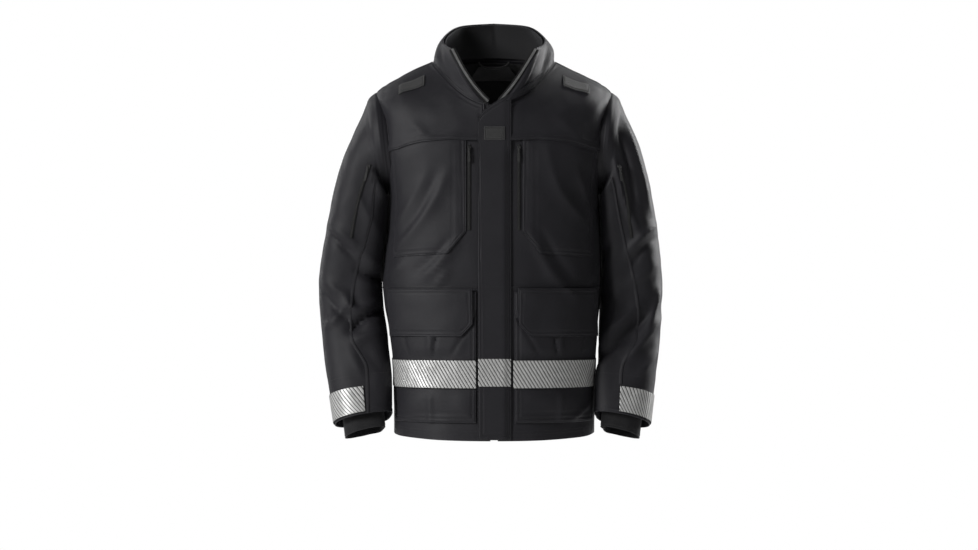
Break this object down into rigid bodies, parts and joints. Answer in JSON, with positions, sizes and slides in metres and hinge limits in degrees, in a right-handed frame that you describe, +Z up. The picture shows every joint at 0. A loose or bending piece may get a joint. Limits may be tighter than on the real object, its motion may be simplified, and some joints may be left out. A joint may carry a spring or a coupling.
{
  "type": "turnout coat",
  "caption": "Hip-length black softshell duty coat with tall collar, yokes, storm flap over a zip, chest and flapped cargo pockets, and segmented silver reflective bands.",
  "frame": {"origin": "middle of the shoulder line at the base of the neck, where a hanger or the wearer carries the coat", "axes": "+Z up, +X towards the wearer's left, +Y towards the wearer's back, so the coat faces -Y"},
  "size_m": [0.6357, 0.3185, 0.7731],
  "materials": {
    "shell_fabric": "matt black woven softshell, smooth and slightly silky",
    "liner_fabric": "matt black knit",
    "reflective_film": "silver retroreflective film, cut in narrow diagonal segments",
    "webbing": "black woven webbing",
    "zip_tape": "black woven tape",
    "zip_moulding": "black moulded plastic",
    "zip_metal": "dark plated metal",
    "hook_and_loop": "black hook and loop tape",
    "label_cloth": "blank black woven label"
  },
  "bodies": {
    "coat": {"shell_back": "shell_fabric", "shell_left_front": "shell_fabric", "shell_right_front": "shell_fabric", "back_yoke": "shell_fabric", "left_front_yoke": "shell_fabric", "right_front_yoke": "shell_fabric", "shell_collar": "shell_fabric", "liner_collar": "liner_fabric", "liner_back": "liner_fabric", "liner_left_front": "liner_fabric", "liner_right_front": "liner_fabric", "left_zip_tape": "zip_tape", "right_zip_tape": "zip_tape", "left_zip_teeth": "zip_moulding", "right_zip_teeth": "zip_moulding", "zip_retainer_box": "zip_moulding", "left_chest_pocket": "shell_fabric", "right_chest_pocket": "shell_fabric", "left_chest_zip": "zip_tape", "right_chest_zip": "zip_tape", "left_pocket_pouch": "shell_fabric", "right_pocket_pouch": "shell_fabric", "left_front_band": "reflective_film", "right_front_band": "reflective_film", "back_band": "reflective_film", "left_shoulder_tab": "webbing", "right_shoulder_tab": "webbing", "hang_loop": "webbing", "neck_label": "label_cloth", "front_loop_strip": "hook_and_loop"},
    "front_slider": {"zip_slider": "zip_metal", "zip_pull": "zip_metal"},
    "closing_flap": {"storm_flap": "shell_fabric", "storm_flap_band": "reflective_film", "storm_flap_tab": "webbing", "storm_flap_hook_strip": "hook_and_loop"},
    "right_pocket_lid": {"right_pocket_flap": "shell_fabric", "right_flap_hook_strip": "hook_and_loop"},
    "right_chest_slider": {"right_chest_zip_slider": "zip_metal", "right_chest_zip_pull": "zip_moulding"},
    "right_upper_arm": {"right_upper_sleeve": "shell_fabric", "right_upper_liner": "liner_fabric", "right_sleeve_zip": "zip_tape"},
    "right_sleeve_slider": {"right_sleeve_zip_slider": "zip_metal", "right_sleeve_zip_pull": "zip_moulding"},
    "right_forearm": {"right_forearm_sleeve": "shell_fabric", "right_forearm_liner": "liner_fabric", "right_cuff_band": "reflective_film"},
    "left_pocket_lid": {"left_pocket_flap": "shell_fabric", "left_flap_hook_strip": "hook_and_loop"},
    "left_chest_slider": {"left_chest_zip_slider": "zip_metal", "left_chest_zip_pull": "zip_moulding"},
    "left_upper_arm": {"left_upper_sleeve": "shell_fabric", "left_upper_liner": "liner_fabric", "left_sleeve_zip": "zip_tape"},
    "left_sleeve_slider": {"left_sleeve_zip_slider": "zip_metal", "left_sleeve_zip_pull": "zip_moulding"},
    "left_forearm": {"left_forearm_sleeve": "shell_fabric", "left_forearm_liner": "liner_fabric", "left_cuff_band": "reflective_film"}
  },
  "joints": [
    {"name": "front_zip", "type": "slide", "parent": "coat", "child": "front_slider", "axis": [0, -0.0564, -0.9984], "range_m": [0, 0.525]},
    {"name": "storm_flap_opening", "type": "hinge", "parent": "coat", "child": "closing_flap", "pos_m": [0.031, -0.14931, -0.38727], "axis": [0, 0.0564, 0.9984], "range_deg": [0, 90]},
    {"name": "right_pocket_flap_lift", "type": "hinge", "parent": "coat", "child": "right_pocket_lid", "pos_m": [-0.12191, -0.13343, -0.41768], "axis": [-0.8928, 0.4505, 0], "range_deg": [0, 100]},
    {"name": "right_chest_zip_slide", "type": "slide", "parent": "coat", "child": "right_chest_slider", "axis": [-0.0001, -0.0522, -0.9986], "range_m": [0, 0.115]},
    {"name": "right_shoulder_swing", "type": "hinge", "parent": "coat", "child": "right_upper_arm", "pos_m": [-0.2, 0.004, -0.152], "axis": [-0.9938, 0, -0.1115], "range_deg": [0, 60]},
    {"name": "right_elbow_bend", "type": "hinge", "parent": "right_upper_arm", "child": "right_forearm", "pos_m": [-0.272, 0.012, -0.4275], "axis": [-1, 0, 0], "range_deg": [0, 50]},
    {"name": "right_sleeve_zip_slide", "type": "slide", "parent": "right_upper_arm", "child": "right_sleeve_slider", "axis": [-0.2421, 0.1232, -0.9624], "range_m": [0, 0.11]},
    {"name": "left_pocket_flap_lift", "type": "hinge", "parent": "coat", "child": "left_pocket_lid", "pos_m": [0.12426, -0.13235, -0.41768], "axis": [-0.8872, -0.4613, 0], "range_deg": [0, 100]},
    {"name": "left_chest_zip_slide", "type": "slide", "parent": "coat", "child": "left_chest_slider", "axis": [0.0001, -0.0522, -0.9986], "range_m": [0, 0.115]},
    {"name": "left_shoulder_swing", "type": "hinge", "parent": "coat", "child": "left_upper_arm", "pos_m": [0.2, 0.004, -0.152], "axis": [-0.9938, 0, 0.1115], "range_deg": [0, 60]},
    {"name": "left_elbow_bend", "type": "hinge", "parent": "left_upper_arm", "child": "left_forearm", "pos_m": [0.26, 0.012, -0.4275], "axis": [-1, 0, 0], "range_deg": [0, 50]},
    {"name": "left_sleeve_zip_slide", "type": "slide", "parent": "left_upper_arm", "child": "left_sleeve_slider", "axis": [0.1759, 0.125, -0.9764], "range_m": [0, 0.11]}
  ]
}
